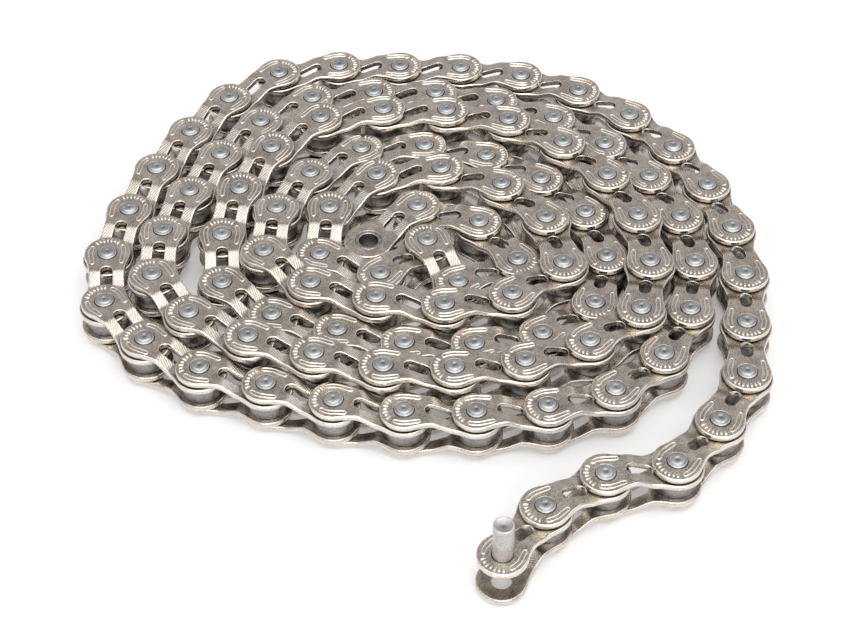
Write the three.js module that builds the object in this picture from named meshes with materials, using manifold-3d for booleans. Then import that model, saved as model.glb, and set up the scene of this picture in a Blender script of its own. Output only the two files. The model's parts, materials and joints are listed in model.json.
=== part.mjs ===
// Half-link roller chain, loosely coiled on a flat surface, with its outer end trailing free.
// Units are millimetres, +Z is up. Every link is the same: two cranked side plates with a wide end and
// a narrow end, a bush and roller at the narrow end, and a pin at the wide end. The narrow end of each
// link turns on the pin of the next one. Link 1 is the free outer end and link 100 the inner end.

import * as THREE from 'three';
import { mergeVertices } from 'three/addons/utils/BufferGeometryUtils.js';
import Module from 'manifold-3d';

const wasm = await Module();
wasm.setup();

// Driving dimensions of a link
const PITCH = 12.7;
const PLATE_THICKNESS = 1.15;
const INNER_WIDTH = 3.2;
const SIDE_GAP = 0.15;
const WIDE_RADIUS = 4.4;
const NARROW_RADIUS = 4.8;
const WAIST = 3.3;
const CRANK_START = 5;
const CRANK_START_WIDTH = 3.5;
const CRANK_END = 8;
const CRANK_END_WIDTH = 3.4;
const SLOT_WIDTH = 1.8;
const SLOT_START = 3.7;
const SLOT_END = 8.4;
const PIN_RADIUS = 1.775;
const PIN_LENGTH = 9.2;
const PIN_DOME = 0.25;
const PIN_CROWN_RADIUS = 1.24;
const BUSH_INNER_RADIUS = 1.85;
const BUSH_OUTER_RADIUS = 2.55;
const ROLLER_INNER_RADIUS = 2.62;
const ROLLER_RADIUS = 3.875;
const ROLLER_WIDTH = 3.1;
const PRESS_GAP = 0.05;
const LOOSE_PIN_DEPTH = 0.35;

// Levels above and below the middle plane of the chain
const NARROW_INNER = INNER_WIDTH / 2;
const NARROW_OUTER = NARROW_INNER + PLATE_THICKNESS;
const WIDE_INNER = NARROW_OUTER + SIDE_GAP;
const WIDE_OUTER = WIDE_INNER + PLATE_THICKNESS;
const MIDDLE = PIN_LENGTH / 2;

// Number of flats around each round piece
const PLATE_FLATS = 12;
const RUN_PLATE_FLATS = 8;
const PIN_FLATS = 8;
const BUSH_FLATS = 12;
const ROLLER_FLATS = 14;
const RUN_ROLLER_FLATS = 8;
const RUN_PIN_FLATS = 6;
const FUSED_ROLLER_FLATS = 6;
const FUSED_PIN_FLATS = 5;

// The lay: how far the chain turns to the left at each pin, in degrees, from link 1 inwards
const FIRST_HEADING = 54;
const TURNS = [
  -20, -22, 37, 13, 22, 1, 10, 11, 11, 12, 13, 15, 11, 10, 1, 12, 29, 16, 7, 8, 6, 17,
  37, 15, 16, 0, 7, 10, 7, 12, 25, 20, 18, 16, 17, 16, 11, 14, 13, 11, 9, 29, 17, 12, 6, 15,
  40, 24, 10, 5, 12, 10, 14, 18, 38, 18, 18, 16, 17, 20, 11, 13, 31, 21, 15, 16,
  46, 22, 3, 14, 13, 26, 39, 28, 25, 17, 19, 19, 34, 23, 21,
  53, 26, 10, 20, 28, 62, 28, 26, 28, 40, 39, 73, 70, -109, 91, 96, 35, 64,
];
// Where a winding rides up on its neighbour: first pin, last pin and rise of each ramp
const RAMPS = [[43, 49, 2.75], [62, 68, -2.75], [78, 84, 2.75], [88, 94, -2.75]];

// Which links are made of separate pieces, which are one solid each, and how many links a run joins
const SEPARATE_OUTER_LINKS = 6;
const SINGLE_LINKS = 9;
const LINKS_PER_RUN = 6;
const LINKS = TURNS.length + 1;

const STEEL = { color: 0x9a9ea3, roughness: 0.3, metalness: 1 };
const NICKEL = { color: 0xb9aca0, roughness: 0.35, metalness: 1 };
const BRIGHT = { color: 0xc4c6c8, roughness: 0.25, metalness: 1 };

// Booleans: three.js geometry to a manifold solid and back
function solidOf(geometry) {
  const bare = geometry.clone();
  bare.deleteAttribute('normal');
  bare.deleteAttribute('uv');
  const merged = mergeVertices(bare);
  return new wasm.Manifold(new wasm.Mesh({
    numProp: 3,
    vertProperties: new Float32Array(merged.attributes.position.array),
    triVerts: new Uint32Array(merged.index.array),
  }));
}

function geometryOf(solid) {
  const mesh = solid.getMesh();
  const geometry = new THREE.BufferGeometry();
  geometry.setAttribute('position', new THREE.BufferAttribute(mesh.vertProperties, 3));
  geometry.setIndex(new THREE.BufferAttribute(mesh.triVerts, 1));
  return geometry;
}

function joined(pieces) {
  return pieces.map(solidOf).reduce((whole, piece) => whole.add(piece));
}

// A round bar or hole along Z; low and high are its ends
function bar(radius, flats, low, high, x = 0, y = 0) {
  const geometry = new THREE.CylinderGeometry(radius, radius, high - low, flats);
  geometry.rotateX(Math.PI / 2);
  geometry.translate(x, y, (low + high) / 2);
  return geometry;
}

// A ring turned about Z; its inner flats stay outside the inner radius
function ring(inner, outer, flats, width) {
  const bore = inner / Math.cos(Math.PI / flats);
  const half = width / 2;
  const profile = [[bore, -half], [outer, -half], [outer, half], [bore, half], [bore, -half]];
  const geometry = new THREE.LatheGeometry(profile.map(([x, y]) => new THREE.Vector2(x, y)), flats);
  return geometry.rotateX(Math.PI / 2);
}

// A solid through a row of upright four-cornered sections
function loft(sections) {
  const points = [];
  const faces = [];
  for (const { middle, across, left, right, low, high } of sections) {
    const leftSide = middle.clone().addScaledVector(across, left);
    const rightSide = middle.clone().addScaledVector(across, -right);
    points.push(leftSide.x, leftSide.y, middle.z + low, rightSide.x, rightSide.y, middle.z + low);
    points.push(rightSide.x, rightSide.y, middle.z + high, leftSide.x, leftSide.y, middle.z + high);
  }
  const quad = (a, b, c, d) => faces.push(a, b, c, a, c, d);
  for (let i = 0; i < sections.length - 1; i++) {
    for (let side = 0; side < 4; side++) {
      const next = (side + 1) % 4;
      quad(4 * i + side, 4 * i + 4 + side, 4 * i + 4 + next, 4 * i + next);
    }
  }
  const last = 4 * (sections.length - 1);
  quad(0, 1, 2, 3);
  quad(last + 3, last + 2, last + 1, last);
  const geometry = new THREE.BufferGeometry();
  geometry.setAttribute('position', new THREE.Float32BufferAttribute(points, 3));
  geometry.setIndex(faces);
  return geometry;
}

// Low and high levels of a band between two heights, above (side 1) or below (side -1) the middle
function band(side, inner, outer) {
  return side > 0 ? { low: inner, high: outer } : { low: -outer, high: -inner };
}

// Half-widths of a round plate end, as [distance along the link, half-width] at each flat's corner,
// between two angles that count back from the -X side, in half flats
function roundEnd(radius, centre, flats, from, to) {
  const corners = [];
  for (let halves = from; halves <= to; halves += 2) {
    const turn = Math.PI * (1 - halves / flats);
    corners.push([centre + radius * Math.cos(turn), radius * Math.sin(turn)]);
  }
  return corners;
}

function wideEnd(flats) {
  return roundEnd(WIDE_RADIUS, 0, flats, 1, flats / 2 + 1);
}

function narrowEnd(flats) {
  return roundEnd(NARROW_RADIUS, PITCH, flats, flats / 2 - 1, flats - 1);
}

// A cranked side plate, along +X from the wide end's hole at the origin to the narrow end
function sidePlate(side) {
  const outline = [
    ...wideEnd(PLATE_FLATS),
    [CRANK_START, CRANK_START_WIDTH],
    [CRANK_END, CRANK_END_WIDTH],
    ...narrowEnd(PLATE_FLATS),
  ];
  const across = new THREE.Vector3(0, 1, 0);
  const plate = loft(outline.map(([x, width]) => ({
    middle: new THREE.Vector3(x, 0, 0),
    across,
    left: width,
    right: width,
    ...(x <= CRANK_START ? band(side, WIDE_INNER, WIDE_OUTER) : band(side, NARROW_INNER, NARROW_OUTER)),
  })));
  const pinHole = bar(PIN_RADIUS + PRESS_GAP, PIN_FLATS, -MIDDLE, MIDDLE);
  const bushHole = bar(BUSH_OUTER_RADIUS + PRESS_GAP, BUSH_FLATS, -MIDDLE, MIDDLE, PITCH);
  const slot = new THREE.BoxGeometry(SLOT_END - SLOT_START, SLOT_WIDTH, 2 * MIDDLE);
  slot.translate((SLOT_START + SLOT_END) / 2, 0, 0);
  return geometryOf([pinHole, bushHole, slot].reduce(
    (body, hole) => body.subtract(solidOf(hole)),
    solidOf(plate),
  ));
}

// A pin with domed ends, standing on the middle plane
function pin() {
  const half = PIN_LENGTH / 2;
  const profile = [
    [0, -half], [PIN_CROWN_RADIUS, -half], [PIN_RADIUS, PIN_DOME - half],
    [PIN_RADIUS, half - PIN_DOME], [PIN_CROWN_RADIUS, half], [0, half],
  ];
  const geometry = new THREE.LatheGeometry(profile.map(([x, y]) => new THREE.Vector2(x, y)), PIN_FLATS);
  return geometry.rotateX(Math.PI / 2);
}

// The lay of the chain: the place of every pin, and the direction of every link
function rampHeight(index) {
  return RAMPS.reduce((height, [first, last, rise]) => {
    const along = THREE.MathUtils.clamp((index - first) / (last - first), 0, 1);
    const eased = along < 0.5 ? 2 * along * along : 1 - 2 * (1 - along) * (1 - along);
    return height + rise * eased;
  }, 0);
}

function layPins() {
  const pins = [new THREE.Vector3(0, 0, rampHeight(0))];
  let heading = FIRST_HEADING;
  for (let index = 0; index < LINKS; index++) {
    heading += index > 0 ? TURNS[index - 1] : 0;
    const rise = rampHeight(index + 1) - rampHeight(index);
    const reach = Math.sqrt(PITCH * PITCH - rise * rise);
    const turn = THREE.MathUtils.degToRad(heading);
    const step = new THREE.Vector3(reach * Math.cos(turn), reach * Math.sin(turn), rise);
    pins.push(pins[index].clone().add(step));
  }
  return pins;
}

const PINS = layPins();

function direction(index) {
  return PINS[index + 1].clone().sub(PINS[index]).setZ(0).normalize();
}

function leftOf(along) {
  return new THREE.Vector3(-along.y, along.x, 0);
}

// A section across link number index, some distance along it from its pin
function section(index, distance, left, right, levels) {
  const middle = PINS[index].clone().lerp(PINS[index + 1], distance / PITCH);
  return { middle, across: leftOf(direction(index)), left, right, ...levels };
}

// A fused joint: the plates just before and after its pin stay clear of each other in a sharp turn
const JOINT_REACH = 3.6;
const JOINT_WIDTH = 3.25;
const JOINT_INSIDE_SHARE = 0.9;

function besideJoint(link, distance, turn, side) {
  const room = JOINT_REACH / Math.tan(Math.abs(turn) / 2);
  const inside = Math.min(JOINT_WIDTH, JOINT_INSIDE_SHARE * room);
  const [left, right] = turn > 0 ? [inside, JOINT_WIDTH] : [JOINT_WIDTH, inside];
  return section(link, distance, left, right, band(side, NARROW_INNER, WIDE_OUTER));
}

function turnAt(index) {
  const before = direction(index - 1);
  const after = direction(index);
  return Math.atan2(before.x * after.y - before.y * after.x, before.dot(after));
}

// One side of a run of links: true plate ends at both ends, and fused joints in between
function runSide(first, last, side) {
  const wide = band(side, WIDE_INNER, WIDE_OUTER);
  const narrow = band(side, NARROW_INNER, NARROW_OUTER);
  const thick = band(side, NARROW_INNER, WIDE_OUTER);
  const sections = [];
  for (const [distance, width] of wideEnd(RUN_PLATE_FLATS)) {
    sections.push(section(first, distance, width, width, wide));
  }
  sections.push(section(first, CRANK_START, CRANK_START_WIDTH, CRANK_START_WIDTH, wide));
  sections.push(section(first, CRANK_END, WAIST, WAIST, narrow));
  for (let index = first + 1; index <= last; index++) {
    const turn = turnAt(index);
    const across = leftOf(direction(index - 1)).add(leftOf(direction(index))).normalize();
    const middle = PINS[index].clone();
    sections.push(besideJoint(index - 1, PITCH - JOINT_REACH, turn, side));
    sections.push({ middle, across, left: NARROW_RADIUS, right: NARROW_RADIUS, ...thick });
    sections.push(besideJoint(index, JOINT_REACH, turn, side));
    sections.push(section(index, CRANK_END, WAIST, WAIST, narrow));
  }
  for (const [distance, width] of narrowEnd(RUN_PLATE_FLATS)) {
    sections.push(section(last, distance, width, width, narrow));
  }
  return loft(sections);
}

// A run of links as one solid, with its own end pin, and a bored end roller for the next run's pin
function linkRun(first, last) {
  const fusedRoller = NARROW_INNER + PLATE_THICKNESS / 2;
  const at = PINS[first];
  const end = PINS[last + 1];
  const pieces = [
    runSide(first, last, 1),
    runSide(first, last, -1),
    bar(PIN_RADIUS, RUN_PIN_FLATS, at.z - MIDDLE, at.z + MIDDLE, at.x, at.y),
    bar(ROLLER_RADIUS, RUN_ROLLER_FLATS, end.z - fusedRoller, end.z + fusedRoller, end.x, end.y),
  ];
  for (let index = first + 1; index <= last; index++) {
    const { x, y, z } = PINS[index];
    pieces.push(bar(ROLLER_RADIUS, FUSED_ROLLER_FLATS, z - fusedRoller, z + fusedRoller, x, y));
    pieces.push(bar(PIN_RADIUS, FUSED_PIN_FLATS, z - MIDDLE, z + MIDDLE, x, y));
  }
  const bore = BUSH_INNER_RADIUS / Math.cos(Math.PI / RUN_PIN_FLATS);
  const hole = bar(bore, RUN_PIN_FLATS, end.z - MIDDLE, end.z + MIDDLE, end.x, end.y);
  return geometryOf(joined(pieces).subtract(solidOf(hole)));
}

const chain = new THREE.Group();
chain.name = 'roller_chain';

function addPiece(parent, name, geometry, finish) {
  const mesh = new THREE.Mesh(geometry, new THREE.MeshStandardMaterial(finish));
  mesh.name = name;
  parent.add(mesh);
  return mesh;
}

function twoDigits(number) {
  return String(number).padStart(2, '0');
}

// A link of five separate pieces, in a group that stands on its pin and points along the link
function addSeparateLink(index) {
  const name = `link_${twoDigits(index + 1)}`;
  const link = new THREE.Group();
  link.position.copy(PINS[index]);
  link.rotation.z = Math.atan2(direction(index).y, direction(index).x);
  chain.add(link);
  addPiece(link, `${name}_upper_plate`, sidePlate(1), NICKEL);
  addPiece(link, `${name}_lower_plate`, sidePlate(-1), NICKEL);
  const bush = ring(BUSH_INNER_RADIUS, BUSH_OUTER_RADIUS, BUSH_FLATS, 2 * NARROW_OUTER);
  addPiece(link, `${name}_bush`, bush, STEEL).position.x = PITCH;
  const roller = ring(ROLLER_INNER_RADIUS, ROLLER_RADIUS, ROLLER_FLATS, ROLLER_WIDTH);
  addPiece(link, `${name}_roller`, roller, STEEL).position.x = PITCH;
  if (index === 0) {
    const loosePin = addPiece(link, 'connecting_pin', pin(), BRIGHT);
    loosePin.position.z = WIDE_INNER - LOOSE_PIN_DEPTH + PIN_LENGTH / 2;
  } else {
    addPiece(link, `${name}_pin`, pin(), BRIGHT);
  }
}

const firstRunLink = SEPARATE_OUTER_LINKS + SINGLE_LINKS;
for (let index = 0; index < SEPARATE_OUTER_LINKS; index++) {
  addSeparateLink(index);
}
for (let index = SEPARATE_OUTER_LINKS; index < firstRunLink; index++) {
  addPiece(chain, `link_${twoDigits(index + 1)}`, linkRun(index, index), NICKEL);
}
for (let index = firstRunLink; index < LINKS - 1; index += LINKS_PER_RUN) {
  const last = Math.min(index + LINKS_PER_RUN, LINKS - 1) - 1;
  addPiece(chain, `links_${twoDigits(index + 1)}_to_${twoDigits(last + 1)}`, linkRun(index, last), NICKEL);
}
addSeparateLink(LINKS - 1);

// Stand the lowest pin heads on Z = 0, with the middle of the chain's plan at the origin
const box = new THREE.Box3().setFromObject(chain, true);
const centre = box.getCenter(new THREE.Vector3());
chain.position.set(-centre.x, -centre.y, -box.min.z);

const part = new THREE.Group();
part.name = 'part';
part.add(chain);

export default part;
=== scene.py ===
"""Half-link roller chain, coiled on a pale floor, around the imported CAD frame."""

import json
import math

import bpy
from mathutils import Matrix, Vector
from mathutils.geometry import delaunay_2d_cdt


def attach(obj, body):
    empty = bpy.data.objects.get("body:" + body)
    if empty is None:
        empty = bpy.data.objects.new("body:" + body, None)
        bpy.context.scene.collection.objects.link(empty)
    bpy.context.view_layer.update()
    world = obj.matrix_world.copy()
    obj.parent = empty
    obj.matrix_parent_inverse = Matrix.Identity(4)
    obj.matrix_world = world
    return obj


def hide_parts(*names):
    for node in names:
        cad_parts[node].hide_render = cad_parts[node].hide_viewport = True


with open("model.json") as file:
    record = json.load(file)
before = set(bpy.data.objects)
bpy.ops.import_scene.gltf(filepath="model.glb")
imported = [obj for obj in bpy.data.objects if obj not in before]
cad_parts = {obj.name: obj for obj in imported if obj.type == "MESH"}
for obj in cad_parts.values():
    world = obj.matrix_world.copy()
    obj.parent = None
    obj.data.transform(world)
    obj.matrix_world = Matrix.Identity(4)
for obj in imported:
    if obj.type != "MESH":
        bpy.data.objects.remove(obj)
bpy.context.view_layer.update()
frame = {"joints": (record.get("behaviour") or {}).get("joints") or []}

MM = 0.001

# Driving dimensions of a link, in millimetres. The crank, the slot and the bush's bore differ a little
# from the CAD model's.
PITCH = 12.7
PLATE_THICKNESS = 1.15
INNER_WIDTH = 3.2
SIDE_GAP = 0.15
WIDE_RADIUS = 4.4
NARROW_RADIUS = 4.8
WAIST = 3.3
CRANK_START = 4.95
CRANK_END = 7.75
CRANK_BEND = 0.13
SLOT_HALF_WIDTH = 1.12
SLOT_START = 3.65
SLOT_END = 8.4
PIN_RADIUS = 1.775
PIN_LENGTH = 9.2
BUSH_INNER_RADIUS = 1.87
BUSH_OUTER_RADIUS = 2.55
ROLLER_INNER_RADIUS = 2.62
ROLLER_RADIUS = 3.875
ROLLER_WIDTH = 3.1
LOOSE_PIN_DEPTH = 0.35
PIN_HOLE_GAP = 0.04
BUSH_HOLE_GAP = 0.02
BUSH_ROUND = 0.12
ROLLER_ROUND = 0.22

NARROW_INNER = INNER_WIDTH / 2
NARROW_OUTER = NARROW_INNER + PLATE_THICKNESS
WIDE_INNER = NARROW_OUTER + SIDE_GAP
CRANK_DROP = WIDE_INNER - NARROW_INNER

# The lay: how far the chain turns to the left at each pin, in degrees, from link 1 inwards. The same list
# as in part.mjs. It wasn't chosen by hand: a program made it by fitting the photo's pins.
FIRST_HEADING = 54
TURNS = [
    -20, -22, 37, 13, 22, 1, 10, 11, 11, 12, 13, 15, 11, 10, 1, 12, 29, 16, 7, 8, 6, 17,
    37, 15, 16, 0, 7, 10, 7, 12, 25, 20, 18, 16, 17, 16, 11, 14, 13, 11, 9, 29, 17, 12, 6, 15,
    40, 24, 10, 5, 12, 10, 14, 18, 38, 18, 18, 16, 17, 20, 11, 13, 31, 21, 15, 16,
    46, 22, 3, 14, 13, 26, 39, 28, 25, 17, 19, 19, 34, 23, 21,
    53, 26, 10, 20, 28, 62, 28, 26, 28, 40, 39, 73, 70, -109, 91, 96, 35, 64,
]
# Where a winding rides up on its neighbour: first pin, last pin and rise of each ramp
RAMPS = [(43, 49, 2.75), (62, 68, -2.75), (78, 84, 2.75), (88, 94, -2.75)]
LINKS = len(TURNS) + 1
SEPARATE_OUTER_LINKS = 6
SINGLE_LINKS = 9
LINKS_PER_RUN = 6

# How many steps each round stretch is drawn in
WIDE_STEPS = 14
NECK_STEPS = 15
NARROW_STEPS = 26
PIN_HOLE_STEPS = 24
BUSH_HOLE_STEPS = 28
SLOT_FAR_STEPS = 7
SLOT_NEAR_STEPS = 8
SLOT_SIDE_STEPS = 6
PIN_STEPS = 28
BUSH_STEPS = 28
ROLLER_STEPS = 36
MARK_STEPS = 12


# ---------------------------------------------------------------- the lay

def ramp_height(index):
    height = 0.0
    for first, last, rise in RAMPS:
        along = min(max((index - first) / (last - first), 0.0), 1.0)
        eased = 2 * along * along if along < 0.5 else 1 - 2 * (1 - along) ** 2
        height += rise * eased
    return height


def lay_pins():
    """The middle of every pin, in millimetres, starting from the first pin."""
    places = [Vector((0, 0, ramp_height(0)))]
    heading = FIRST_HEADING
    for index in range(LINKS):
        if index > 0:
            heading += TURNS[index - 1]
        rise = ramp_height(index + 1) - ramp_height(index)
        reach = math.sqrt(PITCH * PITCH - rise * rise)
        turn = math.radians(heading)
        step = Vector((reach * math.cos(turn), reach * math.sin(turn), rise))
        places.append(places[-1] + step)
    return places


def frame_shift(places):
    """From the first pin's frame to the row frame: the hinge at pin 1 says where that pin is."""
    hinge = next(j for j in frame["joints"] if j["name"] == "hinge_01")
    return Vector(hinge["pos_m"]) / MM - places[1]


def link_matrix(index):
    """The link's own frame in the row frame: origin on its pin, X along the link, in millimetres."""
    along = (PINS[index + 1] - PINS[index]).normalized()
    across = Vector((0, 0, 1)).cross(along).normalized()
    up = along.cross(across)
    turn = Matrix((along, across, up)).transposed().to_4x4()
    return Matrix.Translation(PINS[index]) @ turn


PINS = lay_pins()
shift = frame_shift(PINS)
PINS = [p + shift for p in PINS]


# ---------------------------------------------------------------- shapes

class Shape:
    """Vertices and faces of one piece in its link's frame, in millimetres."""

    def __init__(self):
        self.points = []
        self.faces = []
        self.rim = []

    def ring(self, points, rim):
        first = len(self.points)
        self.points += points
        self.rim += [rim] * len(points)
        return list(range(first, len(self.points)))

    def bridge(self, a, b):
        """Quads between two closed rings of equal length."""
        n = len(a)
        for i in range(n):
            j = (i + 1) % n
            self.faces.append((a[i], a[j], b[j], b[i]))

    def add(self, other):
        first = len(self.points)
        self.points += other.points
        self.rim += other.rim
        self.faces += [tuple(first + i for i in face) for face in other.faces]

    def bend(self, height):
        """Lifts every point by a height that depends on its place along the link."""
        self.points = [(x, y, z + height(x)) for x, y, z in self.points]

    def mirrored(self):
        """The same shape below the middle plane."""
        other = Shape()
        other.points = [(x, y, -z) for x, y, z in self.points]
        other.rim = list(self.rim)
        other.faces = [tuple(reversed(face)) for face in self.faces]
        return other


def arc(centre, radius, start, end, steps, inward=False):
    """Points with their outward normals, (x, y, nx, ny), along an arc between two angles in degrees."""
    out = []
    for i in range(steps):
        angle = math.radians(start + (end - start) * i / steps)
        nx, ny = math.cos(angle), math.sin(angle)
        x, y = centre[0] + radius * nx, centre[1] + radius * ny
        out.append((x, y, -nx, -ny) if inward else (x, y, nx, ny))
    return out


def neck_circle():
    """Centre and radius of the hollow that joins both round ends and leaves the waist between."""
    middle = (PITCH ** 2 + WIDE_RADIUS ** 2 - NARROW_RADIUS ** 2) / (2 * PITCH)
    lean = (WIDE_RADIUS - NARROW_RADIUS) / PITCH
    a = lean ** 2
    b = 2 * middle * lean - 2 * (WIDE_RADIUS - WAIST)
    c = middle ** 2 - WIDE_RADIUS ** 2 + WAIST ** 2
    radius = (-b - math.sqrt(b * b - 4 * a * c)) / (2 * a)
    return middle + lean * radius, WAIST + radius, radius


def plate_outline():
    """The plate's outer edge, anticlockwise from the middle of the wide end's tip."""
    x, y, radius = neck_circle()
    wide = math.degrees(math.atan2(y, x))
    narrow = math.degrees(math.atan2(y, x - PITCH))
    end = (PITCH, 0)
    return (
        arc((0, 0), WIDE_RADIUS, 180, 360 - wide, WIDE_STEPS)
        + arc((x, -y), radius, 180 - wide, 180 - narrow, NECK_STEPS, inward=True)
        + arc(end, NARROW_RADIUS, -narrow, narrow, NARROW_STEPS)
        + arc((x, y), radius, narrow - 180, wide - 180, NECK_STEPS, inward=True)
        + arc((0, 0), WIDE_RADIUS, wide, 180, WIDE_STEPS)
    )


def hole(centre, radius, steps):
    return [(x, y, -nx, -ny) for x, y, nx, ny in arc(centre, radius, 360, 0, steps)]


def slot_outline():
    """The long hole in the crank, clockwise, with round ends."""
    near = (SLOT_START + SLOT_HALF_WIDTH, 0)
    far = (SLOT_END - SLOT_HALF_WIDTH, 0)
    out = arc(far, SLOT_HALF_WIDTH, 90, -90, SLOT_FAR_STEPS) + [(far[0], -SLOT_HALF_WIDTH, 0, -1)]
    for i in range(1, SLOT_SIDE_STEPS):
        x = far[0] + (near[0] - far[0]) * i / SLOT_SIDE_STEPS
        out.append((x, -SLOT_HALF_WIDTH, 0, -1))
    out += arc(near, SLOT_HALF_WIDTH, 270, 90, SLOT_NEAR_STEPS) + [(near[0], SLOT_HALF_WIDTH, 0, 1)]
    for i in range(1, SLOT_SIDE_STEPS):
        x = near[0] + (far[0] - near[0]) * i / SLOT_SIDE_STEPS
        out.append((x, SLOT_HALF_WIDTH, 0, 1))
    return [(x, y, -nx, -ny) for x, y, nx, ny in out]


def inside(x, y, loop):
    """Whether a point is inside a closed loop."""
    odd = False
    for (x1, y1, *_), (x2, y2, *_) in zip(loop, loop[1:] + loop[:1]):
        if (y1 > y) != (y2 > y) and x < x1 + (x2 - x1) * (y - y1) / (y2 - y1):
            odd = not odd
    return odd


def inset(loop, distance):
    return [(x - nx * distance, y - ny * distance, nx, ny) for x, y, nx, ny in loop]


EDGE_ROUND = 0.27
HOLE_ROUND = 0.12
SLOT_ROUND = 0.15
EDGE_SEGMENTS = 3
HOLE_SEGMENTS = 1
SLOT_SEGMENTS = 2
FLAT_RIM = 0.07
# Rim values paint light into the colour: above 0 a painted highlight on rounded edges and walls, below 0
# painted shade in holes, on inner faces and in the next link's contact shadow; INNER_RIM scales them on a
# plate's inner side
WALL_RIM = 0.8
SLOT_RIM = 0.3
INNER_FACE_RIM = -0.5
HOLE_RIM = -0.9
INNER_RIM = 0.35
TUBE_RIM = 0.1
TUBE_CORNER_RIM = 0.9
CONTACT_SHADOW_RIM = -0.75
CONTACT_SHADOW_REACH = 0.35
FILL_STEP = 1.1
FOLD_STEP = 0.4
FILL_CLEARANCE = 0.45
MERGE_DISTANCE = 1e-6


def edge_profile(rounding, segments, wall_rim):
    """(inset, level below the face, rim) of each ring from the flat face round to the side wall."""
    rows = [(rounding + FLAT_RIM, 0.0, 0.0), (rounding, 0.0, 0.0)]
    for i in range(1, segments + 1):
        turn = math.pi / 2 * i / segments
        # The rounding and the wall get a painted highlight through rim; a hole's wall gets painted shade
        rim = 1.0 if i < segments else wall_rim
        rows.append((rounding * (1 - math.sin(turn)), rounding * (1 - math.cos(turn)), rim))
    return rows


def sheet_metal(edges, thickness):
    """A flat plate with rounded edges, its underside at level 0; each edge is a loop and its profile."""
    shape = Shape()
    outline, *holes = [loop for loop, _ in edges]
    face_rings = {0: [], 1: []}
    for loop, rows in edges:
        levels = [(depth, thickness - drop, rim) for depth, drop, rim in rows]
        levels += [(depth, drop, rim * INNER_RIM) for depth, drop, rim in reversed(rows)]
        rings = [
            shape.ring([(x, y, level) for x, y, *_ in inset(loop, depth)], rim)
            for depth, level, rim in levels
        ]
        for upper, lower in zip(rings, rings[1:]):
            shape.bridge(upper[::-1], lower[::-1])
        face_rings[1].append(rings[0])
        face_rings[0].append(rings[-1])
    fill = fill_points(outline, holes)
    for top in (1, 0):
        fill_face(shape, face_rings[top], fill, thickness if top else 0.0, top)
    return shape


def fill_points(outline, holes):
    """Inner points of the flat faces, spread evenly and kept clear of every edge."""
    margin = EDGE_ROUND + FLAT_RIM + FILL_STEP * FILL_CLEARANCE
    border = inset(outline, margin)
    openings = [inset(h, margin) for h in holes]
    low = min(x for x, *_ in outline)
    high = max(x for x, *_ in outline)
    wide = max(y for _, y, *_ in outline)
    columns = int((high - low) / FILL_STEP)
    rows = int(2 * wide / FILL_STEP)
    places = [low + (high - low) * i / columns for i in range(columns + 1)]
    places = [x for x in places if not SLOT_START < x < SLOT_END]
    folds = int((SLOT_END - SLOT_START) / FOLD_STEP)
    places += [SLOT_START + (SLOT_END - SLOT_START) * i / folds for i in range(folds + 1)]
    out = []
    for i, x in enumerate(places):
        for j in range(rows + 1):
            y = -wide + 2 * wide * (j + 0.5 * (i % 2)) / rows
            if inside(x, y, border) and not any(inside(x, y, o) for o in openings):
                out.append((x, y))
    return out


def fill_face(shape, rings, fill, level, top):
    """Triangles over a flat face between its rings."""
    loops = [[shape.points[i] for i in ring] for ring in rings]
    index = [i for ring in rings for i in ring]
    flat = [Vector(shape.points[i][:2]) for i in index]
    edges = []
    start = 0
    for ring in rings:
        n = len(ring)
        edges += [(start + i, start + (i + 1) % n) for i in range(n)]
        start += n
    # The inner face gets painted shade through INNER_FACE_RIM; the outer face gets none
    index += shape.ring([(x, y, level) for x, y in fill], 0.0 if top else INNER_FACE_RIM)
    flat += [Vector(p) for p in fill]
    found, _, faces, origin, *_ = delaunay_2d_cdt(flat, edges, [], 0, MERGE_DISTANCE)
    to_shape = [index[o[0]] for o in origin]
    for face in faces:
        x = sum(found[i].x for i in face) / 3
        y = sum(found[i].y for i in face) / 3
        if inside(x, y, loops[0]) and not any(inside(x, y, loop) for loop in loops[1:]):
            corners = [to_shape[i] for i in face]
            shape.faces.append(tuple(corners if top else reversed(corners)))


def crank_bend(along):
    """The height and the slope of a ramp that starts at 0 through a rounded bend."""
    if along < -CRANK_BEND:
        return 0.0, 0.0
    if along > CRANK_BEND:
        return along, 1.0
    return (along + CRANK_BEND) ** 2 / (4 * CRANK_BEND), (along + CRANK_BEND) / (2 * CRANK_BEND)


def crank(x):
    """How far down the crank a place is, from 0 at the wide end's level to 1, and how steep it is there."""
    along = (x - CRANK_START) / (CRANK_END - CRANK_START)
    height_in, slope_in = crank_bend(along)
    height_out, slope_out = crank_bend(along - 1)
    return height_in - height_out, slope_in - slope_out


BEAD_RADIUS = 0.165
BEAD_SIDES = [(-1.0, -0.4), (-0.75, 0.65), (0.0, 1.0), (0.75, 0.65), (1.0, -0.4)]
LOOP_HALF_WIDTH = 0.36
LOOP_STEPS = 9
LOOP_BACK = -1.55
LOOP_LENGTH = 4.15
LOOP_OFFSET = 3.12
LOOP_BOW = 0.13
LOOP_FLARE = 0.115
LOOP_FLARE_START = 0.6
LOOP_FLARE_POWER = 2.1
MARK_ARC = 3.35
MARK_HALF_WIDTH = 0.25
MARK_HALF_LENGTHS = (0.54, 0.42)
MARK_PROFILE = ((1.0, -0.2), (0.95, 0.45), (0.7, 0.7))
MARKS = 7
MARK_STEP = 12.5


def loop_centre(t):
    """The middle line of a pressed loop beside the pin, t from 0 at the tip end to 1 at the neck."""
    x = LOOP_BACK + LOOP_LENGTH * t
    flare = LOOP_FLARE * max(x - LOOP_FLARE_START, 0) ** LOOP_FLARE_POWER
    return x, LOOP_OFFSET - LOOP_BOW * x * x + flare


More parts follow.
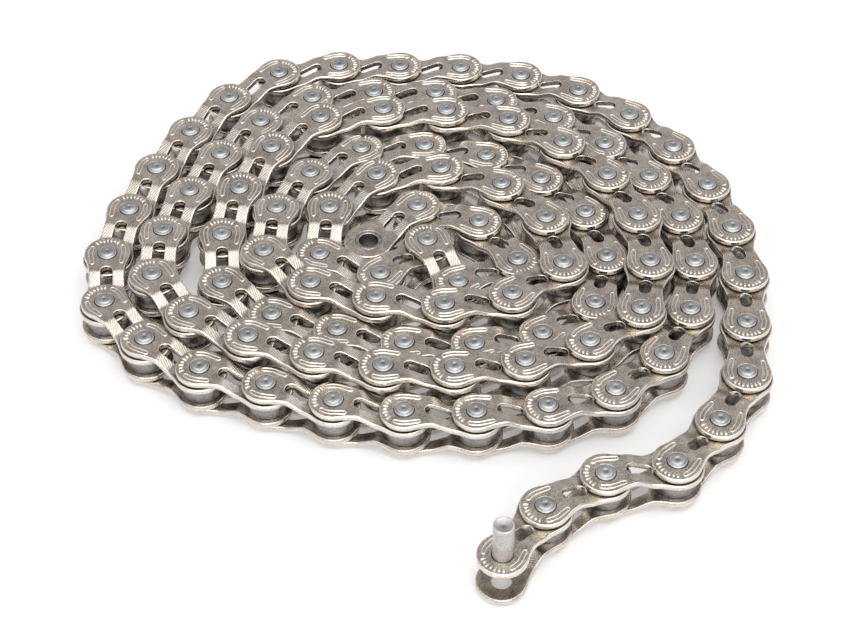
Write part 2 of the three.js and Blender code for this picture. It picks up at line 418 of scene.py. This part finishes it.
def pressed_loop(side):
    """A raised thin line around a long loop, lying beside the pin."""
    centre = [loop_centre(i / LOOP_STEPS) for i in range(LOOP_STEPS + 1)]
    normals = []
    for i in range(len(centre)):
        x0, y0 = centre[max(i - 1, 0)]
        x1, y1 = centre[min(i + 1, LOOP_STEPS)]
        length = math.hypot(x1 - x0, y1 - y0)
        normals.append((-(y1 - y0) / length, (x1 - x0) / length))
    there = list(zip(centre, normals))
    back = there[::-1]
    line = [(x + n[0] * LOOP_HALF_WIDTH, y + n[1] * LOOP_HALF_WIDTH) for (x, y), n in there]
    line += round_cap(centre[-1], normals[-1], -1)
    line += [(x - n[0] * LOOP_HALF_WIDTH, y - n[1] * LOOP_HALF_WIDTH) for (x, y), n in back]
    line += round_cap(centre[0], normals[0], 1)
    return bead([(x, side * y) for x, y in line][::side])


def round_cap(at, normal, way):
    """The points of a half circle round a loop's end, without its two corners."""
    start = math.degrees(math.atan2(-way * normal[1], -way * normal[0]))
    out = []
    for angle in (45, 90, 135):
        turn = math.radians(start - angle)
        out.append((at[0] + LOOP_HALF_WIDTH * math.cos(turn), at[1] + LOOP_HALF_WIDTH * math.sin(turn)))
    return out


def bead(line):
    """A low ridge along a closed clockwise line, standing on level 0."""
    shape = Shape()
    n = len(line)
    rings = []
    for across, level in BEAD_SIDES:
        points = []
        for i, (x, y) in enumerate(line):
            x0, y0 = line[i - 1]
            x1, y1 = line[(i + 1) % n]
            length = math.hypot(x1 - x0, y1 - y0)
            nx, ny = -(y1 - y0) / length, (x1 - x0) / length
            reach = across * BEAD_RADIUS
            points.append((x + nx * reach, y + ny * reach, level * BEAD_RADIUS))
        # The whole ridge gets rim 1.0, a painted highlight
        rings.append(shape.ring(points, 1.0))
    for a, b in zip(rings, rings[1:] + rings[:1]):
        shape.bridge(a, b)
    return shape


def raised_mark(angle, half_length):
    """A small rounded radial dash on the arc round the wide end's tip, standing on level 0."""
    shape = Shape()
    rings = []
    turn = math.radians(angle)
    for size, level in MARK_PROFILE:
        points = []
        for x, y, nx, ny in arc((0, 0), MARK_HALF_WIDTH * size, 0, 360, MARK_STEPS):
            along = MARK_ARC + x + math.copysign(half_length - MARK_HALF_WIDTH, nx)
            points.append((
                along * math.cos(turn) - y * math.sin(turn),
                along * math.sin(turn) + y * math.cos(turn),
                MARK_HALF_WIDTH * level,
            ))
        # The whole mark gets rim 1.0, a painted highlight
        rings.append(shape.ring(points, 1.0))
    for a, b in zip(rings, rings[1:]):
        shape.bridge(a, b)
    shape.faces.append(tuple(rings[-1]))
    shape.faces.append(tuple(reversed(rings[0])))
    return shape


def grease(shape):
    """Paints a contact shadow on the outer face round the place where the next link's wide end turns on it.
    """
    for i, (x, y, z) in enumerate(shape.points):
        covered = math.hypot(x - PITCH, y) < WIDE_RADIUS + CONTACT_SHADOW_REACH
        if covered and z > PLATE_THICKNESS - HOLE_ROUND and shape.rim[i] == 0:
            shape.rim[i] = CONTACT_SHADOW_RIM


def side_plate(contact_shadowed):
    """The upper side plate: cranked, with its holes, slot, pressed loops and row of raised marks."""
    round_hole = edge_profile(HOLE_ROUND, HOLE_SEGMENTS, HOLE_RIM)
    plate = sheet_metal([
        (plate_outline(), edge_profile(EDGE_ROUND, EDGE_SEGMENTS, WALL_RIM)),
        (hole((0, 0), PIN_RADIUS + PIN_HOLE_GAP, PIN_HOLE_STEPS), round_hole),
        (hole((PITCH, 0), BUSH_OUTER_RADIUS + BUSH_HOLE_GAP, BUSH_HOLE_STEPS), round_hole),
        (slot_outline(), edge_profile(SLOT_ROUND, SLOT_SEGMENTS, SLOT_RIM)),
    ], PLATE_THICKNESS)
    # Painted contact shadow of the next link's wide end
    if contact_shadowed:
        grease(plate)
    marks = [pressed_loop(1), pressed_loop(-1)]
    for i in range(MARKS):
        angle = 180 + MARK_STEP * (i - (MARKS - 1) / 2)
        marks.append(raised_mark(angle, MARK_HALF_LENGTHS[i % 2]))
    for mark in marks:
        mark.bend(lambda x: PLATE_THICKNESS)
        plate.add(mark)
    plate.bend(lambda x: WIDE_INNER - CRANK_DROP * crank(x)[0])
    return plate


def turned(profile, steps, x=0.0):
    """A shape turned about the upright axis at x; profile is (radius, level, rim) from bottom to top."""
    shape = Shape()
    rings = []
    for radius, level, rim in profile:
        points = [
            (x + radius * math.cos(math.tau * i / steps), radius * math.sin(math.tau * i / steps), level)
            for i in range(steps)
        ]
        rings.append(shape.ring(points, rim))
    for a, b in zip(rings, rings[1:]):
        shape.bridge(a, b)
    return shape, rings


def rivet_head():
    """(radius, depth below the end, rim) of a riveted pin end, from its side to its centre; the rim column
    paints highlight rings above 0 and painted shade below 0, at the side and in the middle dimple.
    """
    return [
        (PIN_RADIUS, 0.75, -0.5), (PIN_RADIUS, 0.46, -0.2), (1.73, 0.38, 0.5), (1.62, 0.33, 0.3),
        (1.47, 0.31, -0.3), (1.38, 0.24, 0.1), (1.27, 0.11, 0.6), (1.08, 0.03, 0.1), (0.75, 0.0, 0.0),
        (0.5, 0.01, 0.0), (0.38, 0.06, -0.3), (0.15, 0.14, -0.7),
    ]


def dished_end():
    """(radius, depth below the end, rim) of the connecting pin's hollow end, from its side to its centre;
    the rim column paints a highlight on the lip above 0 and painted shade in the hollow below 0.
    """
    return [
        (PIN_RADIUS, 0.5, 0.0), (PIN_RADIUS, 0.16, 0.1), (1.73, 0.05, 0.5), (1.63, 0.0, 0.9),
        (1.5, 0.03, 0.5), (1.35, 0.14, 0.0), (0.9, 0.3, -0.2), (0.45, 0.42, -0.5), (0.12, 0.48, -0.9),
    ]


def pin(ends, lift=0.0):
    """A pin with the same shape at both ends."""
    half = PIN_LENGTH / 2
    profile = [(r, -half + depth, rim) for r, depth, rim in reversed(ends)]
    profile += [(r, half - depth, rim) for r, depth, rim in ends]
    shape, rings = turned(profile, PIN_STEPS)
    shape.faces.append(tuple(reversed(rings[0])))
    shape.faces.append(tuple(rings[-1]))
    shape.bend(lambda x: lift)
    return shape


def tube(inner, outer, half, rounding, steps, x):
    """A ring with rounded edges about an upright axis at x."""
    rows = []
    corners = (
        (outer - rounding, -half + rounding, -90),
        (outer - rounding, half - rounding, 0),
        (inner + rounding, half - rounding, 90),
        (inner + rounding, -half + rounding, 180),
    )
    for radius, level, start in corners:
        for angle in (0, 45, 90):
            turn = math.radians(start + angle)
            # The corners get a painted highlight through TUBE_CORNER_RIM, the rest a faint one through
            # TUBE_RIM
            rim = TUBE_CORNER_RIM if angle == 45 else TUBE_RIM
            rows.append((radius + rounding * math.cos(turn), level + rounding * math.sin(turn), rim))
    shape, rings = turned(rows, steps, x)
    shape.bridge(rings[-1], rings[0])
    return shape


def bush():
    return tube(BUSH_INNER_RADIUS, BUSH_OUTER_RADIUS, NARROW_OUTER, BUSH_ROUND, BUSH_STEPS, PITCH)


def roller():
    return tube(ROLLER_INNER_RADIUS, ROLLER_RADIUS, ROLLER_WIDTH / 2, ROLLER_ROUND, ROLLER_STEPS, PITCH)


# ---------------------------------------------------------------- materials

def new_material(name):
    material = bpy.data.materials.new(name)
    material.use_nodes = True
    return material, material.node_tree.nodes, material.node_tree.links


def value_of(nodes, links, operation, *inputs):
    """A Math node; inputs are numbers or sockets."""
    node = nodes.new("ShaderNodeMath")
    node.operation = operation
    for slot, source in zip(node.inputs, inputs):
        if isinstance(source, (int, float)):
            slot.default_value = source
        else:
            links.new(source, slot)
    return node.outputs[0]


def noise(nodes, links, vector, scale, detail=4.0, roughness=0.55, stretch=(1, 1, 1)):
    """A noise value over the piece, stretched along its axes."""
    mapping = nodes.new("ShaderNodeMapping")
    mapping.inputs["Scale"].default_value = stretch
    links.new(vector, mapping.inputs["Vector"])
    texture = nodes.new("ShaderNodeTexNoise")
    texture.inputs["Scale"].default_value = scale
    texture.inputs["Detail"].default_value = detail
    texture.inputs["Roughness"].default_value = roughness
    links.new(mapping.outputs[0], texture.inputs["Vector"])
    return texture.outputs["Fac"]


def ramp(nodes, links, source, stops):
    """A colour ramp; stops are (position, colour or grey)."""
    node = nodes.new("ShaderNodeValToRGB")
    elements = node.color_ramp.elements
    while len(elements) < len(stops):
        elements.new(0.5)
    for element, (position, colour) in zip(elements, stops):
        element.position = position
        colour = colour if isinstance(colour, tuple) else (colour, colour, colour)
        element.color = (*colour, 1)
    links.new(source, node.inputs[0])
    return node.outputs[0]


def mixed(nodes, links, factor, a, b):
    """A mix of two colours; each is a colour or a socket."""
    node = nodes.new("ShaderNodeMix")
    node.data_type = "RGBA"
    for slot, source in ((node.inputs["Factor"], factor), (node.inputs["A"], a), (node.inputs["B"], b)):
        if isinstance(source, tuple):
            slot.default_value = (*source, 1)
        else:
            links.new(source, slot)
    return node.outputs["Result"]


def attribute(nodes, name):
    node = nodes.new("ShaderNodeAttribute")
    node.attribute_name = name
    return node


def times(nodes, links, a, b):
    return value_of(nodes, links, "MULTIPLY", a, b)


def hatching(nodes, links, place):
    """The slanting tool marks left on a crank when it was pressed."""
    wave = nodes.new("ShaderNodeTexWave")
    wave.wave_type = "BANDS"
    wave.bands_direction = "DIAGONAL"
    wave.inputs["Scale"].default_value = 1.3
    wave.inputs["Distortion"].default_value = 1.2
    wave.inputs["Detail"].default_value = 2.0
    links.new(place, wave.inputs["Vector"])
    return wave.outputs["Fac"]


# Colour of the painted shade in holes, on inner faces and under the next link
SHADE_COLOUR = (0.05, 0.045, 0.04)
CLOUD_SCALE = 0.4
FINE_SCALE = 3.2
RUBBED_SCALE = 2.2
STREAK_SHARE = 0.3
HATCH_SHARE = 0.35
GROOVE_SHARE = 0.5
HIGHLIGHT_SHARE = 0.75
SHADE_SHARE = 0.8
LEAST_ROUGHNESS = 0.12
BUMP_STRENGTH = 0.28
BUMP_DEPTH = 0.06 * MM


def metal(name, dark, mid, light, edge, rough, grain):
    """Worn bright metal: clouded colour, fine rubbed grain and scratches, edges with a painted highlight and
    a little less roughness, and painted shade in recesses.
    """
    material, nodes, links = new_material(name)
    shader = nodes["Principled BSDF"]
    shader.inputs["Metallic"].default_value = 1.0
    place = attribute(nodes, "link_place").outputs["Vector"]
    rim = attribute(nodes, "rim").outputs["Fac"]
    fold = attribute(nodes, "fold").outputs["Fac"]
    clouds = noise(nodes, links, place, CLOUD_SCALE, 5.0, 0.65)
    fine = noise(nodes, links, place, FINE_SCALE, 4.0, 0.75)
    rubbed = noise(nodes, links, place, RUBBED_SCALE, 6.0, 0.75, grain)
    tone = value_of(nodes, links, "ADD", times(nodes, links, clouds, 0.5), times(nodes, links, fine, 0.5))
    base = ramp(nodes, links, tone, [(0.41, dark), (0.5, mid), (0.59, light)])
    streak = ramp(nodes, links, rubbed, [(0.46, 0.0), (0.62, 1.0)])
    base = mixed(nodes, links, times(nodes, links, streak, STREAK_SHARE), base, edge)
    hatch = hatching(nodes, links, place)
    marks = times(nodes, links, fold, hatch)
    base = mixed(nodes, links, times(nodes, links, marks, HATCH_SHARE), base, edge)
    grooves = times(nodes, links, fold, value_of(nodes, links, "SUBTRACT", 1.0, hatch))
    base = mixed(nodes, links, times(nodes, links, grooves, GROOVE_SHARE), base, dark)
    # Painted highlight: points with rim above 0 are lightened towards the edge colour
    painted_highlight = value_of(nodes, links, "MAXIMUM", rim, 0.0)
    base = mixed(nodes, links, times(nodes, links, painted_highlight, HIGHLIGHT_SHARE), base, edge)
    # Painted shade: points with rim below 0 are darkened towards the shade colour
    painted_shade = value_of(nodes, links, "MAXIMUM", times(nodes, links, rim, -1.0), 0.0)
    base = mixed(nodes, links, times(nodes, links, painted_shade, SHADE_SHARE), base, SHADE_COLOUR)
    links.new(base, shader.inputs["Base Color"])
    spread = times(nodes, links, value_of(nodes, links, "SUBTRACT", rubbed, 0.5), 0.5)
    roughness = value_of(nodes, links, "ADD", rough, spread)
    roughness = value_of(nodes, links, "SUBTRACT", roughness, times(nodes, links, painted_highlight, 0.1))
    links.new(value_of(nodes, links, "MAXIMUM", roughness, LEAST_ROUGHNESS), shader.inputs["Roughness"])
    bump = nodes.new("ShaderNodeBump")
    bump.inputs["Strength"].default_value = BUMP_STRENGTH
    bump.inputs["Distance"].default_value = BUMP_DEPTH
    grainy = value_of(nodes, links, "ADD", rubbed, times(nodes, links, fine, 0.8))
    height = value_of(nodes, links, "ADD", grainy, marks)
    links.new(height, bump.inputs["Height"])
    links.new(bump.outputs[0], shader.inputs["Normal"])
    return material


PLATE_METAL = metal(
    "nickel_plate", (0.32, 0.277, 0.235), (0.48, 0.42, 0.36), (0.64, 0.57, 0.50), (0.95, 0.89, 0.82),
    0.27, (0.35, 3.0, 1.0),
)
PIN_METAL = metal(
    "pin_steel", (0.24, 0.245, 0.25), (0.345, 0.35, 0.355), (0.45, 0.455, 0.46), (0.72, 0.72, 0.73),
    0.4, (3.0, 3.0, 0.6),
)
LOOSE_PIN_METAL = metal(
    "loose_pin_steel", (0.40, 0.39, 0.38), (0.52, 0.51, 0.50), (0.63, 0.62, 0.61), (0.74, 0.73, 0.72),
    0.45, (4.0, 4.0, 0.4),
)
# The roller's dark colours are partly its own tone and partly painted shade for the gaps between the plates
# where it sits
ROLLER_METAL = metal(
    "roller_steel", (0.14, 0.142, 0.145), (0.21, 0.212, 0.215), (0.29, 0.292, 0.295), (0.66, 0.66, 0.65),
    0.32, (0.6, 0.6, 4.0),
)
BUSH_METAL = metal(
    "bush_steel", (0.17, 0.16, 0.15), (0.25, 0.24, 0.23), (0.36, 0.35, 0.34), (0.74, 0.72, 0.70),
    0.32, (0.6, 0.6, 4.0),
)


# ---------------------------------------------------------------- pieces

# Shifts each link's place in the noise, so that no two neighbours look the same
PLACE_STEP = 29.0
PLACE_SIDE_STEP = 7.0
PLACE_SIDE_CYCLE = 13


def make_piece(name, shape, links_used, material, body, nodes):
    """One object with a copy of the shape on each link, riding on its body, in place of its CAD nodes."""
    points = []
    places = []
    rim = []
    folds = []
    faces = []
    for index in links_used:
        first = len(points)
        matrix = link_matrix(index)
        points += [matrix @ Vector(p) * MM for p in shape.points]
        along = PLACE_STEP * index
        aside = PLACE_SIDE_STEP * (index % PLACE_SIDE_CYCLE)
        places += [(x + along, y + aside, z) for x, y, z in shape.points]
        rim += shape.rim
        folds += [crank(p[0])[1] for p in shape.points]
        faces += [tuple(first + i for i in face) for face in shape.faces]
    mesh = bpy.data.meshes.new(name)
    mesh.from_pydata(points, [], faces)
    mesh.polygons.foreach_set("use_smooth", [True] * len(faces))
    place_data = mesh.attributes.new("link_place", "FLOAT_VECTOR", "POINT").data
    place_data.foreach_set("vector", [c for p in places for c in p])
    mesh.attributes.new("rim", "FLOAT", "POINT").data.foreach_set("value", rim)
    mesh.attributes.new("fold", "FLOAT", "POINT").data.foreach_set("value", folds)
    mesh.materials.append(material)
    piece = bpy.data.objects.new(name, mesh)
    bpy.context.scene.collection.objects.link(piece)
    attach(piece, body)
    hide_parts(*nodes)


UPPER_PLATE = side_plate(contact_shadowed=True)
LOWER_PLATE = UPPER_PLATE.mirrored()
UNSHADOWED_PLATE = side_plate(contact_shadowed=False)
PIN = pin(rivet_head())
LOOSE_PIN = pin(dished_end(), WIDE_INNER - LOOSE_PIN_DEPTH + PIN_LENGTH / 2)
BUSH = bush()
ROLLER = roller()
PARTS = [
    ("upper_plate", UPPER_PLATE, PLATE_METAL, "plate"),
    ("lower_plate", LOWER_PLATE, PLATE_METAL, "plate"),
    ("bush", BUSH, BUSH_METAL, "bush"),
    ("roller", ROLLER, ROLLER_METAL, "roller"),
    ("pin", PIN, PIN_METAL, "pin"),
]


def two_digits(number):
    return str(number).zfill(2)


def separate_link(index):
    """A link whose five pieces are CAD nodes of their own."""
    number = two_digits(index + 1)
    link = f"link_{number}"
    for part, shape, material, slot in PARTS:
        body = f"roller_{number}" if part == "roller" else link
        node = f"{link}_{part}"
        if index == 0 and part == "pin":
            body = node = "connecting_pin"
            shape, material = LOOSE_PIN, LOOSE_PIN_METAL
        # The last link's upper plate has no next link on it, so it has no painted contact shadow
        if index == LINKS - 1 and part == "upper_plate":
            shape = UNSHADOWED_PLATE
        make_piece(f"{node}_fine", shape, [index], material, body, [node])


def joined_links(first, last, node, body):
    """The pieces of one or more links that are a single CAD node."""
    for part, shape, material, slot in PARTS:
        make_piece(f"{node}_{part}", shape, range(first, last + 1), material, body, [node])


first_run_link = SEPARATE_OUTER_LINKS + SINGLE_LINKS
for index in [*range(SEPARATE_OUTER_LINKS), LINKS - 1]:
    separate_link(index)
for index in range(SEPARATE_OUTER_LINKS, first_run_link):
    joined_links(index, index, f"link_{two_digits(index + 1)}", f"link_{two_digits(index + 1)}")
for first in range(first_run_link, LINKS - 1, LINKS_PER_RUN):
    last = min(first + LINKS_PER_RUN, LINKS - 1) - 1
    joined_links(first, last, f"links_{two_digits(first + 1)}_to_{two_digits(last + 1)}", "coil")


# ---------------------------------------------------------------- floor, light and camera

FLOOR_HALF = 3.0
FLOOR_COLOUR = (0.7, 0.7, 0.7, 1)
FLOOR_ROUGHNESS = 0.9
FLOOR_GLOW = 0.24
WORLD_STRENGTH = 1.05
KEY_POWER = 10.5
FILL_POWER = 9
FRONT_POWER = 11


def make_floor():
    """A pale floor with a faint glow, which keeps its shadows light."""
    mesh = bpy.data.meshes.new("floor")
    half = FLOOR_HALF
    corners = [(-half, -half, 0), (half, -half, 0), (half, half, 0), (-half, half, 0)]
    mesh.from_pydata(corners, [], [(0, 1, 2, 3)])
    floor = bpy.data.objects.new("floor", mesh)
    bpy.context.scene.collection.objects.link(floor)
    material, nodes, _ = new_material("pale_floor")
    shader = nodes["Principled BSDF"]
    shader.inputs["Base Color"].default_value = FLOOR_COLOUR
    shader.inputs["Roughness"].default_value = FLOOR_ROUGHNESS
    shader.inputs["Emission Color"].default_value = (1, 1, 1, 1)
    shader.inputs["Emission Strength"].default_value = FLOOR_GLOW
    mesh.materials.append(material)


def area_light(name, place, target, size, power):
    light = bpy.data.lights.new(name, "AREA")
    light.shape = "RECTANGLE"
    light.size, light.size_y = size
    light.energy = power
    lamp = bpy.data.objects.new(name, light)
    bpy.context.scene.collection.objects.link(lamp)
    lamp.location = place
    lamp.rotation_euler = (Vector(target) - Vector(place)).to_track_quat("-Z", "Y").to_euler()


def make_world():
    """A studio with a bright ceiling and dimmer walls, the same all round."""
    world = bpy.data.worlds.new("studio")
    bpy.context.scene.world = world
    world.use_nodes = True
    nodes, links = world.node_tree.nodes, world.node_tree.links
    way = nodes.new("ShaderNodeSeparateXYZ")
    links.new(nodes.new("ShaderNodeTexCoord").outputs["Generated"], way.inputs[0])
    height = value_of(nodes, links, "MULTIPLY_ADD", way.outputs["Z"], 0.5, 0.5)
    stops = [
        (0.0, 0.9), (0.5, 0.65), (0.62, 0.5), (0.8, 0.68), (0.85, 0.57), (0.87, 0.36), (0.895, 0.22),
        (0.925, 0.24), (0.955, 0.85), (1.0, 0.9),
    ]
    links.new(ramp(nodes, links, height, stops), nodes["Background"].inputs["Color"])
    nodes["Background"].inputs["Strength"].default_value = WORLD_STRENGTH


def make_lights():
    make_world()
    middle = (0, 0, 0)
    area_light("key", (-0.5, -0.35, 1.6), middle, (1.9, 1.9), KEY_POWER)
    area_light("fill", (0.6, 0.0, 1.5), middle, (1.6, 1.4), FILL_POWER)
    area_light("front", (0.1, -1.3, 0.7), middle, (1.6, 0.7), FRONT_POWER)
    bpy.context.scene.view_settings.view_transform = "Standard"


# A program made these numbers too: the focal length, the elevation and the distance are those of the
# least-squares fit of the photo's pins that also gave the lay. The aim lies where that fit has its origin.
FOCAL_PIXELS = 1994
FRAME_WIDTH = 854
SENSOR = 36.0
ELEVATION = 45.66
DISTANCE = 363.5
AIM = Vector((0.53, -11.23, 9.2))


def make_camera():
    """The photograph's viewing angle: aimed at a point on the level of the pins' heads."""
    camera = bpy.data.cameras.new("camera")
    camera.sensor_width = SENSOR
    camera.lens = FOCAL_PIXELS * SENSOR / FRAME_WIDTH
    camera.clip_start = 0.01
    viewer = bpy.data.objects.new("camera", camera)
    bpy.context.scene.collection.objects.link(viewer)
    tilt = math.radians(ELEVATION)
    back = Vector((0, -math.cos(tilt), math.sin(tilt))) * DISTANCE
    viewer.location = (AIM + back) * MM
    viewer.rotation_euler = (-back).to_track_quat("-Z", "Y").to_euler()
    bpy.context.scene.camera = viewer


make_floor()
make_lights()
make_camera()
